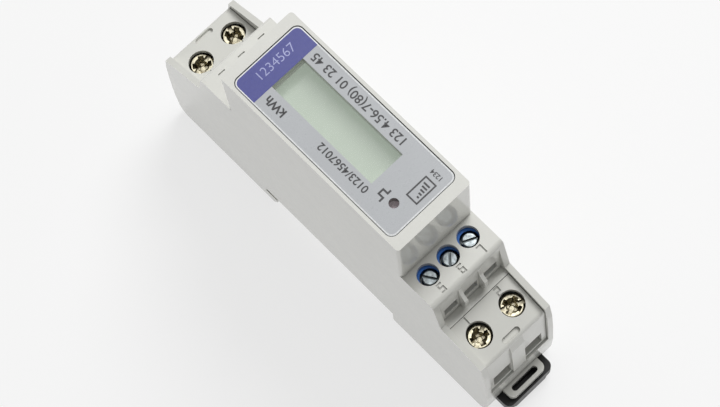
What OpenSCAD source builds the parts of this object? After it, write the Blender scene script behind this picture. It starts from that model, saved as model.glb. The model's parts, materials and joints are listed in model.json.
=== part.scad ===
// One-module electric energy meter for rail mounting, lying on its back.
// X runs across the module, Y along it with the top terminals at +Y, and
// Z points out of the wall. Z = 0 is the seat on the mounting rail.

/* [Overall] */
// Width of the module across the rail
mod_w = 17.5; // [14:0.1:22]
// Length of the raised front section
front_l = 45; // [40:0.5:54]
// Length of each shoulder beyond the front section
shoulder_d = 7.9; // [7.6:0.1:9.4]
// Width of the ledge between a shoulder and its terminals
ledge_w = 2.5; // [2.2:0.1:4]
// Height of the display face above the rail seat
front_z = 53.5; // [52:0.5:66]
// Height of the shoulders above the rail seat
shoulder_z = 37; // [36.5:0.5:44]
// Depth of the feet behind the rail seat
foot_h = 4.5; // [4:0.1:6]

/* [Housing] */
// Thickness of the side walls and of the side plate
wall = 1.25; // [1:0.05:1.5]
// Thickness of the end walls, shoulders and front wall
skin = 1.4; // [1.2:0.05:1.7]
// Thickness of the floor over the rail seat
floor_t = 1.6; // [1.3:0.1:2]
// Plan radius of the corners of the front section
front_r = 0.7; // [0.4:0.1:2]
// Radius of the rounded shoulder edge at the wire side
edge_r = 0.9; // [0.5:0.1:1.6]
// Height of the side rims where they start at the wire side
rim_in_z = 27.4; // [27:0.1:30]
// Height of the side rims where they start at the top end
rim_top_z = 29.7; // [29:0.1:34]
// Height of the side rims at the outer ends
rim_out_z = 24.9; // [24.6:0.1:27]
// How far the terminal covers lie below the side rims
cover_drop = 1.3; // [1:0.1:1.5]
// How far the rims end short of the widest point of the body
rim_back = 1.5; // [1:0.1:2.5]
// Width of the web between the two poles at each end
web_w = 1.6; // [1:0.1:2]
// Margin of the side plate inside the side outline
plate_margin = 1.7; // [1.2:0.1:2.5]
// Gap around the side plate
plate_gap = 0.12; // [0.05:0.01:0.3]
// Diameter of the pegs on the side plate
peg_d = 2.6; // [2:0.1:3]
// Radial gap of the pegs in their sockets
peg_gap = 0.03; // [0.01:0.01:0.1]
// Depth of the engraved numbers
mark_depth = 0.3; // [0.1:0.05:0.4]

/* [Display] */
// Width of the rim along the two sides of the face
face_side = 0.7; // [0.6:0.05:1.2]
// Width of the rim at the two ends of the face
face_end = 2.3; // [1.6:0.1:3]
// Corner radius of the face recess
face_r = 1.5; // [0.5:0.1:3]
// Gap around the lens in its recess
face_gap = 0.08; // [0.03:0.01:0.2]
// Thickness of the clear lens
lens_t = 1.5; // [1:0.1:2]
// Thickness of the printed face film
film_t = 0.2; // [0.1:0.05:0.3]
// How far the film lies below the rim of the front
face_drop = 0.2; // [0.1:0.05:0.5]
// How far the edge of the film lies inside the edge of the lens
film_inset = 0.08; // [0.05:0.01:0.6]
// Distance of the display window from the left side
window_left = 5.35; // [4.8:0.05:6]
// Distance of the display window from the right side
window_right = 4.65; // [4.2:0.05:6]
// Distance of the display window from the top end of the front
window_top = 7.85; // [5:0.05:9]
// Distance of the display window from the bottom end of the front
window_bottom = 12.05; // [11.5:0.05:14]
// Extra width of the well behind the window on each side
well_extra = 0.5; // [0.2:0.1:0.8]
// Depth of the display glass behind the face film
lcd_drop = 4.2; // [3.6:0.1:5]
// Thickness of the display glass
lcd_t = 2.6; // [2:0.1:3]
// Hidden margin of the display glass at each side of the window
lcd_side = 1.75; // [1.3:0.05:1.9]
// Hidden margin of the display glass at each end of the window
lcd_end = 2.45; // [1.5:0.05:2.8]
// Width of the ledge of the glass that meets the pins
lcd_ledge = 1; // [0.8:0.1:1.4]
// Number of pins of the display glass
lcd_pin_count = 12; // [6:1:16]
// Thickness of the frame round the display glass
holder_t = 1; // [0.7:0.1:1.1]
// Thickness of the backlight
backlight_t = 2.4; // [1.5:0.1:3]
// Diameter of the indicator hole in the film
led_hole = 1.9; // [1.5:0.1:2.4]
// Diameter of the indicator lamp
led_d = 2.9; // [2:0.1:3]
// Position of the indicator lamp across the face
led_x = -3.1; // [-4:0.1:4]
// Distance of the indicator lamp from the bottom end of the front
led_end = 6.8; // [6:0.1:7]

/* [Boards] */
// Thickness of both circuit boards
board_t = 1.6; // [1:0.1:1.8]
// Gap between the main board and the left wall
board_gap = 1.6; // [1.3:0.1:2]
// Height of the lower edge of the main board
board_z = 6; // [5.6:0.1:7]
// Gap between each end of the main board and the contact bars
board_end = 2.2; // [1.5:0.1:3]
// Gap between a part on a board and the board
solder_gap = 0.05; // [0.02:0.01:0.1]

/* [Board parts] */
// Length of the metering chip
meter_chip_l = 8.2; // [6:0.1:9]
// Width of the metering chip
meter_chip_w = 5.3; // [4:0.1:5.8]
// Height of the metering chip
meter_chip_h = 1.8; // [1:0.1:2.2]
// Length and width of the controller chip
controller_w = 9; // [6:0.1:9.4]
// Height of the controller chip
controller_h = 1.5; // [0.9:0.1:2]
// Legs on each side of the two chips
chip_legs = 12; // [6:1:14]
// Length of the optocoupler
opto_l = 4.6; // [4:0.1:5]
// Width of the optocoupler
opto_w = 6.4; // [5:0.1:6.8]
// Height of the optocoupler
opto_h = 3.5; // [2:0.1:4]
// Length of the crystal
crystal_l = 8; // [6:0.1:9]
// Width of the crystal
crystal_w = 3; // [2.5:0.1:3.4]
// Height of the crystal
crystal_h = 3.5; // [2.5:0.1:4]
// Number of chip resistors
chip_count = 5; // [2:1:6]
// Length of the film capacitor
film_cap_l = 17; // [13:0.5:18]
// Height of the film capacitor along the board
film_cap_h = 12; // [8:0.5:12.5]
// How far the film capacitor stands off the board
film_cap_t = 9; // [6:0.5:10.5]
// Diameter of the reservoir capacitor
bulk_cap_d = 6.3; // [5:0.1:7]
// Length of the reservoir capacitor
bulk_cap_l = 9; // [7:0.5:10.5]
// Diameter of the varistor
varistor_d = 7; // [5:0.5:8]
// Thickness of the varistor
varistor_t = 4; // [3:0.5:5]
// Diameter of the fusible resistor
resistor_d = 3.6; // [2.5:0.1:4]
// Length of the fusible resistor
resistor_l = 12; // [9:0.5:13]
// Number of pins between the two boards
header_pins = 8; // [4:1:8]
// Distance between two of those pins
header_pitch = 2; // [1.27:0.01:2.2]
// Height of the body of the pin header
header_h = 2.5; // [2:0.1:3]

/* [Main terminals] */
// Diameter of the main clamping screws
screw_d = 5; // [4:0.1:6]
// Pitch of the main screw thread
screw_pitch = 0.8; // [0.5:0.05:1]
// Radial running gap of every screw in its thread
thread_gap = 0.06; // [0.02:0.01:0.1]
// Height of the top of the main screws
screw_top_z = 23.5; // [23:0.1:24]
// Thickness of the body beyond the clamps at each end
end_wall = 2.85; // [2.7:0.05:3.4]
// Length of a clamp cage along the meter
cage_l = 6.8; // [6:0.1:7]
// Gap between a clamp cage and its guides
cage_gap = 0.25; // [0.15:0.01:0.35]
// Thickness of the cage walls
cage_wall = 0.7; // [0.6:0.05:0.9]
// Thickness of the threaded top of the cage
cage_top = 2; // [1.5:0.1:2.2]
// Height of the cable space under the contact bar
cable_h = 6.4; // [6:0.1:7]
// Height of the underside of the contact bar
bar_z = 15; // [14.8:0.1:15.2]
// Thickness of the contact bars
bar_t = 1.2; // [1:0.1:1.4]
// Width of the contact bars
bar_w = 4.2; // [3.6:0.1:4.4]
// Gap between the tip of a screw and its contact bar
tip_gap = 0.06; // [0.02:0.01:0.15]
// Gap of the terminal covers in the housing
cover_gap = 0.12; // [0.05:0.01:0.2]
// Thickness of the terminal covers
cover_t = 1.1; // [1:0.05:1.3]
// Radial running gap between a cover hole and its screw
access_gap = 0.04; // [0.02:0.01:0.1]
// Radius of the rounded outer edge of the terminal covers
cover_r = 1; // [0.5:0.1:1.4]
// Width of the cable entries in the terminal covers
entry_w = 4.4; // [4.1:0.1:4.6]
// Height of the cable entries in the terminal covers
entry_h = 4.8; // [4.2:0.1:6]
// Width of the centre rib of the cover
rib_w = 3.2; // [2.8:0.1:3.6]
// Length of the oblong dimple between the holes
dimple_l = 4.2; // [3:0.1:5]
// Width of the oblong dimple
dimple_w = 1.3; // [1:0.1:1.6]
// Depth of the oblong dimple
dimple_depth = 0.6; // [0.3:0.05:0.8]
// Length of the resistance strip in the line bar
shunt_l = 12; // [8:0.5:16]

/* [Signal terminals] */
// Spacing of the signal terminals
sig_pitch = 4.95; // [4.8:0.01:5.05]
// Diameter of the signal screws
sig_d = 3; // [2.5:0.1:3.2]
// Pitch of the signal screw thread
sig_screw_pitch = 0.5; // [0.35:0.05:0.6]
// Diameter of the access holes in the shoulder
sig_hole = 4.2; // [3.8:0.1:4.4]
// Distance of the access holes in the shoulder from the front section
sig_hole_in = 2.8; // [2.7:0.05:3]
// Distance of the signal screws from the front section
sig_in = 3.2; // [2.7:0.05:3.3]
// Distance of the signal screw tops below the shoulder face
sig_sink = 1; // [0.8:0.1:2.5]
// Height of the signal terminal block
sig_block_h = 9.2; // [9:0.1:9.4]
// Width of the signal clamp cages
sig_cage_w = 3.9; // [3.7:0.05:3.95]
// Length of the signal clamp cages
sig_cage_l = 4.4; // [4:0.1:4.6]
// Thickness of the threaded top of the signal cages
sig_cage_top = 1.2; // [1:0.1:1.4]
// Thickness of the sides of the signal cages
sig_cage_wall = 0.5; // [0.4:0.05:0.6]
// Travel of a signal clamp from open to its contact
sig_travel = 2; // [1.5:0.1:2.4]
// Running gap around the signal clamp cages
sig_gap = 0.1; // [0.06:0.01:0.12]
// Height of the foot of the wire windows above the ledge
wire_up = 1.8; // [1.4:0.1:2]
// Width of the wire windows
wire_w = 3.2; // [2.8:0.1:3.4]
// Height of the wire windows
wire_h = 2.9; // [2.5:0.1:3]

/* [Rail and latch] */
// Height of the mounting rail from edge to edge
rail_h = 35; // [34.8:0.05:35.2]
// Gap between the rail edge and the housing
rail_gap = 0.35; // [0.2:0.05:0.5]
// Slot left for the lip of the rail
lip_slot = 1.3; // [1.2:0.05:1.5]
// Reach of the fixed hook and of the latch under the rail lip
hook_reach = 3; // [2.4:0.1:3.3]
// Travel of the latch when it is pulled to release the rail
latch_travel = 4; // [3.4:0.1:4.2]
// Width of the latch
latch_w = 12; // [10:0.1:12.4]
// Running gap around the latch
latch_gap = 0.15; // [0.08:0.01:0.25]
// How far the latch tab stands out of the end at rest
tab_out = 3.1; // [2.8:0.1:4]
// Width of the slotted loop above the latch tab
loop_w = 9; // [8:0.1:10]
// How far the slotted loop stands out of the end
loop_out = 2.6; // [2.4:0.1:3]
// Thickness of the slotted loop
loop_t = 1.4; // [1.1:0.1:1.6]
// Length of the slot in the loop
loop_slot_l = 6.4; // [5:0.1:7]
// Width of the slot in the loop
loop_slot_w = 1.3; // [1:0.1:1.5]
// Length of the pocket for the latch spring
pocket_l = 11; // [9:0.5:12]
// Width of the latch spring
spring_w = 4; // [3:0.1:5]
// Height of the strip of the latch spring
spring_h = 1.8; // [1.2:0.1:2]
// Thickness of the strip of the latch spring
spring_t = 0.5; // [0.3:0.05:0.6]
// Number of turns of the latch spring
spring_turns = 5; // [3:1:6]

/* [Hidden] */
$fn = 48;
eps = 0.01;
over = 5;
hw = mod_w / 2;
ix = hw - wall;
fy = front_l / 2;
sy = fy + shoulder_d;
partition_t = 0.8;
strip_y = sy + ledge_w;
part_y = strip_y + partition_t - 0.15;
end_in_y = part_y + cage_l + 2 * cage_gap;
hl = end_in_y + end_wall;
rim_y = hl - rim_back;
face_w = mod_w - 2 * face_side;
face_l = front_l - 2 * face_end;
window_w = mod_w - window_left - window_right;
window_x = (window_left - window_right) / 2;
window_l = front_l - window_top - window_bottom;
window_y = (window_bottom - window_top) / 2;
lcd_w = window_w + 2 * lcd_side;
lcd_l = window_l + 2 * lcd_end;
led_y = fy - led_end;
front_wall_z = front_z - face_drop - film_t - lens_t;
lens_z = front_wall_z;
film_z = lens_z + lens_t;
lcd_z = film_z + film_t - lcd_drop - lcd_t;
backlight_z = lcd_z - backlight_t - solder_gap;
display_z = backlight_z - board_t - solder_gap;
board_x = -ix + board_gap;
part_x = board_x + board_t + solder_gap;
well_w = window_w + 2 * well_extra;
well_l = window_l + 2 * well_extra;
board_top = display_z + board_t + solder_gap;
lcd_pin_x = window_x - lcd_w / 2 + lcd_ledge / 2;
header_x = part_x + header_h / 2;
film_cap_x = min(part_x + film_cap_t, ix - 0.4);
bulk_cap_x = min(bulk_cap_l, ix - 0.4 - part_x);

// Places on the main board as [y, z]
meter_chip_at = [-5.6, 17];
controller_at = [-4, 29.5];
opto_at = [-13, 19.4];
crystal_at = [9.5, 29.5];
chip_row_at = [3.5, 36.2];
film_cap_at = [0.5, board_z + 1];
bulk_cap_at = [-17.5, board_z + 4.6];
varistor_at = [23, 19];
resistor_at = [9.5, 23.8];

// Main terminals
cell_w = ix - web_w / 2;
cage_w = cell_w - 2 * cage_gap;
term_x = (ix + web_w / 2) / 2;
term_y = part_y + cage_gap + cage_l / 2;
web_z = screw_top_z - 1;
strip_t = 1.3;
cage_floor = 1;
cover_in_z = rim_in_z - cover_drop;
cover_out_z = rim_out_z - cover_drop;
strip_z = cover_in_z;
wall_foot = 0.6;
cage_z = bar_z - cable_h - cage_floor;
cage_in_top = bar_z + bar_t + 0.3;
cage_h = cage_in_top + cage_top - cage_z;
shelf_z = cage_z - 0.4;
shelf_t = 1.1;
lip_z = cage_z - 0.2;
cover_y = rim_y + 0.1;
cover_in_y = strip_y + cover_gap;
cover_slope = atan((cover_in_z - cover_out_z) / (cover_y - cover_in_y));
cover_foot_z = lip_z + 0.15;
cover_foot_y = hl - 0.55;
rib_in = rib_w / 2 + 0.2;
leg_y = part_y - partition_t - 0.35;
leg_in = leg_y - bar_t;
bar_low_z = floor_t + 1.3;
bar_tip_y = end_in_y - cage_gap - 0.3;
board_l = 2 * (leg_in - board_end);
entry_z = cage_z + cage_floor;

// Signal terminals
shoulder_in = shoulder_z - skin;
sig_y = fy + sig_in;
sig_hole_y = fy + sig_hole_in;
sig_top = shoulder_in - 0.05;
sig_base = sig_top - sig_block_h;
sig_floor = 0.8;
wire_z = strip_z + wire_up;
sig_cage_z = wire_z - sig_floor;
sig_tongue_t = 0.6;
sig_tongue_z = wire_z + wire_h;
sig_in_top = sig_tongue_z + sig_tongue_t + 0.2;
sig_cage_h = sig_in_top + sig_cage_top - sig_cage_z;
sig_block_out = sy - skin - 0.15;
sig_block_in = sig_y - sig_cage_l / 2 - 1.3;
sig_bore = sig_d + 0.8;
sig_pin_w = 0.8;
sig_leg_y = -sig_block_in + 0.25;
mark_u = 0.8;
shoulder_mark_y = sig_hole_y + sig_hole / 2 + mark_u + 0.45;

// Rail seat, feet and latch
foot_y = rail_h / 2 + rail_gap;
latch_top = -0.3;
latch_nose_top = -lip_slot;
latch_bottom = -foot_h + 0.4;
latch_step = -foot_h + 1.6;
latch_neck = 1;
latch_hw = latch_w / 2;
tab_y = hl + tab_out;
loop_z = 0.15;
pocket_in = foot_y + 5.15;
pocket_out = pocket_in + pocket_l;
post_t = 1.6;

// Pegs of the side plate as [y, z]
pegs = [[leg_in - 4, board_z + 6], [-(leg_in - 4), board_z + 6],
        [fy - 5.2, display_z - 5], [-(fy - 5.2), display_z - 5]];

// A box given by its two limits on each axis
module box(x0, x1, y0, y1, z0, z1) {
    translate([x0, y0, z0]) cube([x1 - x0, y1 - y0, z1 - z0]);
}

// Stands an outline drawn in (y, z) up and gives it a width in X
module across(x0, x1) {
    translate([x0, 0, 0]) rotate([90, 0, 90]) linear_extrude(x1 - x0) children();
}

// Flat rectangle with rounded corners, centred
module round_rect(w, l, r) {
    for (m = [[w - 2 * r, l], [w, l - 2 * r]]) square(m, center = true);
    for (x = [-1, 1], y = [-1, 1])
        translate([x * (w / 2 - r), y * (l / 2 - r)]) circle(r);
}

// Stadium outline along X, centred
module stadium(l, w) {
    square([l - w, w], center = true);
    for (x = [-1, 1]) translate([x * (l - w) / 2, 0]) circle(w / 2);
}

// Points of a circular arc from angle a to angle b in n steps
function arc(c, r, a, b, n) =
    [for (i = [0:n]) let(t = a + (b - a) * i / n) c + r * [cos(t), sin(t)]];

// Outline points of one end below the rim, s = 1 for the top end
function end_points(s) = [[s * rim_y, rim_out_z], [s * (hl - 0.7), rim_out_z - 5],
    [s * (hl - 0.25), rim_out_z - 12], [s * hl, rim_out_z - 20],
    [s * (hl - 0.3), -foot_h + 2.6], [s * (hl - 0.9), -foot_h + 1],
    [s * (hl - 2), -foot_h]];

function reverse(p) = [for (i = [len(p) - 1:-1:0]) p[i]];

// Side outline of the housing with its rims
function side_points() = concat(
    [[fy, front_z], [-fy, front_z], [-fy, shoulder_z]],
    arc([-(sy - edge_r), shoulder_z - edge_r], edge_r, 90, 170, 6),
    [[-(sy + 1.6), rim_in_z]], end_points(-1),
    [[-foot_y, -foot_h], [-foot_y, 0], [foot_y, 0], [foot_y, -lip_slot],
     [foot_y - hook_reach, -lip_slot - 0.2], [foot_y - hook_reach, -lip_slot - 1.2],
     [foot_y - hook_reach + 1.2, -foot_h]],
    reverse(end_points(1)),
    [[sy + 1.5, rim_top_z], [sy, shoulder_z - 0.4], [sy - 0.4, shoulder_z],
     [fy, shoulder_z]]);

// Inside of the housing between its side walls
function cavity_points() = [[fy - skin, floor_t], [fy - skin, front_wall_z - skin],
    [-(fy - skin), front_wall_z - skin], [-(fy - skin), floor_t]];

// Numbers made of straight strokes, on a 2 by 3 grid of side u
module digit(n, u) {
    strokes = [[0, 0, 1, 0], [0, 1, 1, 1], [0, 2, 1, 2], [0, 0, 0, 1], [1, 0, 1, 1],
        [0, 1, 0, 2], [1, 1, 1, 2]];
    used = [[4, 6], [0, 1, 2, 3, 6], [0, 1, 2, 4, 6], [1, 4, 5, 6],
        [0, 1, 2, 4, 5], [0, 1, 2, 3, 4, 5], [2, 4, 6]];
    w = u * 0.42;
    for (i = used[n - 1]) let(s = strokes[i])
        translate([s[0] * u - w / 2 - u / 2, s[1] * u - w / 2 - u])
            square([(s[2] - s[0]) * u + w, (s[3] - s[1]) * u + w]);
}

// ---------------------------------------------------------------- housing
module outline_2d() { polygon(side_points()); }

// Volume cleared for the terminals of one end, s = 1 for the top end
module terminal_space(s) {
    out = hl + over;
    foot = s > 0 ? 0.25 : wall_foot;
    head = s > 0 ? 0.25 : 0.12;
    across(-ix, ix) {
        polygon([[s * (sy - skin), floor_t], [s * (sy - skin), strip_z - strip_t],
            [s * strip_y, strip_z - strip_t], [s * strip_y, strip_z],
            [s * (sy + foot), strip_z], [s * (sy + head), shoulder_z - edge_r - 0.6],
            [s * out, shoulder_z - edge_r - 0.6], [s * out, lip_z],
            [s * (end_in_y + 0.5), lip_z], [s * (end_in_y + 0.5), floor_t]]);
        polygon([[s * (fy - skin), floor_t], [s * (sy - skin), floor_t],
            [s * (sy - skin), shoulder_in], [s * (fy - skin), shoulder_in]]);
    }
}

// Web, shelf and partition of one end
module terminal_walls(s) {
    mirror([0, s > 0 ? 0 : 1, 0]) {
        box(-web_w / 2, web_w / 2, part_y - eps, end_in_y - 0.1, shelf_z, web_z);
        box(-ix - eps, ix + eps, part_y - eps, end_in_y + 0.6, shelf_z - shelf_t, shelf_z);
        difference() {
            box(-ix - eps, ix + eps, part_y - partition_t, part_y, floor_t - eps,
                strip_z - strip_t - 0.2);
            for (x = [-1, 1])
                translate([x * term_x, 0, 0])
                    box(-bar_w / 2 - 0.2, bar_w / 2 + 0.2, part_y - 2, part_y + 1,
                        bar_z - 0.2, bar_z + bar_t + 0.2);
        }
    }
}

module fin(x) {
    w = 0.75;
    tip = -strip_y + 0.55;
    translate([x - w / 2, 0, 0]) across(0, w)
        polygon([[-(sy - 0.6), shoulder_z - 1.2], [-(sy + 0.35), shoulder_z - 2.4],
            [-(sy + 0.7), shoulder_z - 3.9], [-(sy + 1.2), shoulder_z - 5],
            [tip, shoulder_z - 5.8], [tip - 0.1, shoulder_z - 6.8], [tip, strip_z + 2.4],
            [tip + 0.25, strip_z + 1.2], [tip + 0.7, strip_z + 0.5],
            [tip + 0.9, strip_z - eps], [-(sy - 0.4), strip_z - eps]]);
}

// Side plate outline kept inside the side outline by m
module plate_2d(m) {
    yi = sy - m;
    polygon([[fy - m, front_wall_z - skin - m], [-(fy - m), front_wall_z - skin - m],
        [-(fy - m), shoulder_in - m], [-yi + 0.4, shoulder_in - m],
        [-yi + 0.4, strip_z - strip_t - m], [-(rim_y - 0.9 - m), cover_out_z - 5 - m],
        [-(rim_y - 0.2 - m), floor_t + m - 0.6], [rim_y - 0.2 - m, floor_t + m - 0.6],
        [rim_y - 0.9 - m, cover_out_z - 5 - m], [yi - 0.4, strip_z - strip_t - m],
        [yi - 0.4, shoulder_in - m], [fy - m, shoulder_in - m]]);
}

module latch_channel() {
    gx = latch_hw + latch_gap;
    y_out = -(hl + over);
    y_in = -foot_y + over;
    box(-gx, gx, y_out, y_in, latch_step - latch_gap, latch_top + latch_gap);
    box(-gx + latch_neck, gx - latch_neck, y_out, y_in, -foot_h - over, latch_step);
}

// Post that backs the latch spring
module spring_post() {
    box(-spring_w / 2, spring_w / 2, -pocket_out, -pocket_out + post_t, latch_step + 0.2,
        floor_t - eps);
}

module slotted_loop() {
    difference() {
        translate([0, -hl - loop_out + over, loop_z]) linear_extrude(loop_t)
            difference() {
                round_rect(loop_w, 2 * over, 1.2);
                translate([0, -over + loop_slot_w / 2 + 0.75]) stadium(loop_slot_l, loop_slot_w);
            }
        box(-hw, hw, -hl + 0.6, over * 2, loop_z - 1, loop_z + loop_t + 1);
    }
}

module housing_shell() {
    color([0.89, 0.89, 0.87]) difference() {
        union() {
            difference() {
                intersection() {
                    across(-hw, hw) outline_2d();
                    union() {
                        translate([0, 0, shoulder_z]) linear_extrude(front_z)
                            round_rect(mod_w, front_l, front_r);
                        box(-hw, hw, -hl, hl, -foot_h - 1, shoulder_z);
                    }
                }
                across(-ix, ix) polygon(cavity_points());
                terminal_space(1);
                terminal_space(-1);
            }
            terminal_walls(1);
            terminal_walls(-1);
            for (x = [-1, 1]) fin(x * sig_pitch / 2);
            // Bosses that take the pegs of the side plate
            for (p = pegs) translate([-ix - eps, p[0], p[1]]) rotate([0, 90, 0])
                cylinder(h = board_gap - 0.2, d = peg_d + 2.2);
            spring_post();
            slotted_loop();
        }
        // Recess, window well and indicator hole of the display
        translate([0, 0, front_wall_z]) linear_extrude(over) round_rect(face_w, face_l, face_r);
        translate([window_x, window_y, front_wall_z - skin - 1]) linear_extrude(skin + 2)
            square([well_w, well_l], center = true);
        translate([led_x, -led_y, front_wall_z - skin - 1])
            cylinder(h = skin + 2, d = led_d + 0.3);
        // Opening for the side plate
        across(ix - eps, hw + 1) plate_2d(plate_margin);
        // Screw holes and wire windows of the signal terminals
        for (i = [-1:1]) {
            translate([i * sig_pitch, -sig_hole_y, shoulder_in - 1])
                cylinder(h = skin + 2, d = sig_hole);
            translate([i * sig_pitch, 0, 0])
                box(-wire_w / 2, wire_w / 2, -strip_y - 1, -(sy - skin) + 1, wire_z, wire_z + wire_h);
            translate([i * sig_pitch, -shoulder_mark_y, shoulder_z - mark_depth])
                linear_extrude(over) digit(i + 6, mark_u);
            translate([i * sig_pitch, shoulder_mark_y, shoulder_z - mark_depth])
                linear_extrude(over) square([2 * mark_u, mark_u / 3], center = true);
        }
        for (p = pegs) translate([-ix - 0.5, p[0], p[1]]) rotate([0, 90, 0])
            cylinder(h = board_gap + 1, d = peg_d + 2 * peg_gap);
        difference() {
            latch_channel();
            spring_post();
        }
    }
}

module side_plate() {
    color([0.85, 0.85, 0.83]) {
        across(ix, hw) plate_2d(plate_margin + plate_gap);
        for (p = pegs) translate([-ix - 0.3, p[0], p[1]]) rotate([0, 90, 0])
            cylinder(h = 2 * ix + 0.4, d = peg_d);
    }
}

// Height of the sloped top of a cover at y
function cover_top(y) = cover_in_z - tan(cover_slope) * (y - cover_in_y);

// Side profile of a terminal cover with its rounded outer edge, top end
function cover_points() =
    let(y = cover_y - cover_r, z = cover_top(y) - cover_r / cos(cover_slope))
    concat([[cover_in_y, cover_in_z]], arc([y, z], cover_r, 90 - cover_slope, 2, 6),
        [[cover_foot_y, cover_foot_z], [end_in_y, cover_foot_z],
         [end_in_y, cover_top(end_in_y) - cover_t], [cover_in_y, cover_in_z - cover_t]]);

// Cuts a flat shape to a depth into the sloped top of a cover
module cover_cut(x, y, depth) {
    translate([x, y, cover_top(y)]) rotate([-cover_slope, 0, 0]) translate([0, 0, -depth])
        linear_extrude(over) children();
}

// Cover over one pair of main terminals, numbered a and b, drawn at the top end
module terminal_cover(a, b) {
    x = ix - cover_gap;
    difference() {
        union() {
            across(-x, x) polygon(cover_points());
            // Centre rib of the end wall
            across(-rib_w / 2, rib_w / 2) polygon([[cover_y - 0.6, cover_out_z - 0.5],
                [cover_y, cover_out_z - 0.9], [hl - 0.75, cover_out_z - 3.4],
                [hl - 0.1, cover_foot_z], [end_in_y, cover_foot_z], [end_in_y, web_z]]);
        }
        for (s = [-1, 1]) {
            translate([s * term_x, term_y, screw_top_z - 3])
                cylinder(h = 3 * over, d = screw_d - 2 * thread_gap + 2 * access_gap);
            translate([s * (rib_in + entry_w / 2), 0, 0])
                box(-entry_w / 2, entry_w / 2, end_in_y - 1, hl + 1, entry_z, entry_z + entry_h);
            cover_cut(s * term_x + 0.35, cover_in_y + 1.05, mark_depth) rotate(180)
                digit(s < 0 ? a : b, mark_u);
        }
        cover_cut(0, cover_y - 1.2, dimple_depth) stadium(dimple_l, dimple_w);
    }
}

module bottom_terminal_cover() {
    color([0.8, 0.8, 0.78]) rotate([0, 0, 180]) terminal_cover(2, 1);
}

module top_terminal_cover() {
    color([0.8, 0.8, 0.78]) terminal_cover(3, 4);
}

// ---------------------------------------------------------------- display
module window_lens() {
    color([0.92, 0.95, 0.96, 0.4]) translate([0, 0, lens_z]) linear_extrude(lens_t)
        round_rect(face_w - 2 * face_gap, face_l - 2 * face_gap, face_r - face_gap);
}

module face_film() {
    inset = 2 * (face_gap + film_inset);
    color([0.67, 0.68, 0.69]) translate([0, 0, film_z]) linear_extrude(film_t)
        difference() {
            round_rect(face_w - inset, face_l - inset, face_r - inset / 2);
            translate([window_x, window_y]) square([window_w, window_l], center = true);
            translate([led_x, -led_y]) circle(d = led_hole);
        }
}

module lcd_glass() {
    color([0.73, 0.78, 0.72]) translate([window_x, window_y, lcd_z]) {
        translate([-lcd_w / 2, -lcd_l / 2, 0]) cube([lcd_w, lcd_l, lcd_t / 2]);
        translate([-lcd_w / 2 + lcd_ledge, -lcd_l / 2, lcd_t / 2])
            cube([lcd_w - lcd_ledge, lcd_l, lcd_t / 2]);
    }
}

// Frame that centres the glass behind the front wall
module lcd_holder() {
    w = lcd_w / 2 + 0.1;
    l = lcd_l / 2 + 0.1;
    top = front_wall_z - skin - solder_gap;
    color([0.86, 0.86, 0.85]) translate([window_x, window_y, 0]) difference() {
        box(-w - holder_t, w + holder_t, -l - holder_t, l + holder_t, board_top, top);
        box(-w, w, -l, l, display_z, lcd_z + lcd_t + solder_gap);
        box(-well_w / 2, well_w / 2, -well_l / 2, well_l / 2, display_z, top + 1);
        // Room for the header pins
        box(-w - holder_t - 1, -w + 1, -l + 1, l - 1, display_z, board_top + 2.2);
    }
}

module lcd_backlight() {
    color([0.93, 0.94, 0.9]) translate([window_x, window_y, backlight_z])
        translate([-lcd_w / 2 + lcd_ledge + 0.4, -lcd_l / 2, 0])
            cube([lcd_w - lcd_ledge - 0.4, lcd_l, backlight_t]);
}

// Row of pins from the ledge of the glass to the board
module lcd_pins() {
    step = (lcd_l - 4) / (lcd_pin_count - 1);
    color([0.75, 0.73, 0.68]) for (i = [0:lcd_pin_count - 1])
        translate([lcd_pin_x, window_y - lcd_l / 2 + 2 + i * step, 0])
            box(-0.25, 0.25, -0.25, 0.25, display_z + 0.4, lcd_z - solder_gap / 2);
}

module pulse_led() {
    stem = front_wall_z - board_top - 0.4 - led_d / 2;
    color([0.75, 0.2, 0.2]) translate([led_x, -led_y, board_top]) {
        cylinder(h = stem, d = led_d);
        translate([0, 0, stem]) sphere(d = led_d);
        cylinder(h = 0.9, d = led_d + 0.5);
    }
}

module display_board() {
    x = ix - 0.3;
    y = fy - skin - 0.5;
    color([0.13, 0.36, 0.2]) difference() {
        box(-x, x, -y, y, display_z, display_z + board_t);
        translate([lcd_pin_x, window_y, display_z - 1])
            box(-0.5, 0.5, -lcd_l / 2 + 1.2, lcd_l / 2 - 1.2, 0, board_t + 2);
        for (i = [0:header_pins - 1]) translate([header_x, header_pin_y(i), display_z - 1])
            cylinder(h = board_t + 2, d = 1);
    }
}

// ------------------------------------------------------------------ boards
function header_pin_y(i) = (i - (header_pins - 1) / 2) * header_pitch;

module main_board() {
    top = display_z - 0.4;
    low_top = sig_base - 1.6;
    y_top = fy - skin - 0.8;
    y_low = board_l / 2;
    color([0.13, 0.36, 0.2]) difference() {
        across(board_x, board_x + board_t) polygon([[-y_low, board_z], [y_low, board_z],
            [y_low, low_top], [y_top, low_top], [y_top, top], [-y_top, top],
            [-y_top, low_top], [-y_low, low_top]]);
        for (p = pegs) translate([board_x - 1, p[0], p[1]]) rotate([0, 90, 0])
            cylinder(h = board_t + 2, d = peg_d + 0.3);
    }
}

module board_header() {
    top = display_z - 0.5;
    y = header_pins * header_pitch / 2 + 0.2;
    color([0.15, 0.15, 0.16]) {
        box(part_x, part_x + header_h, -y, y, top - header_h, top);
        for (i = [0:header_pins - 1]) translate([header_x, header_pin_y(i), top - eps])
            box(-0.3, 0.3, -0.3, 0.3, 0, board_t + 0.5);
    }
}

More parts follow.
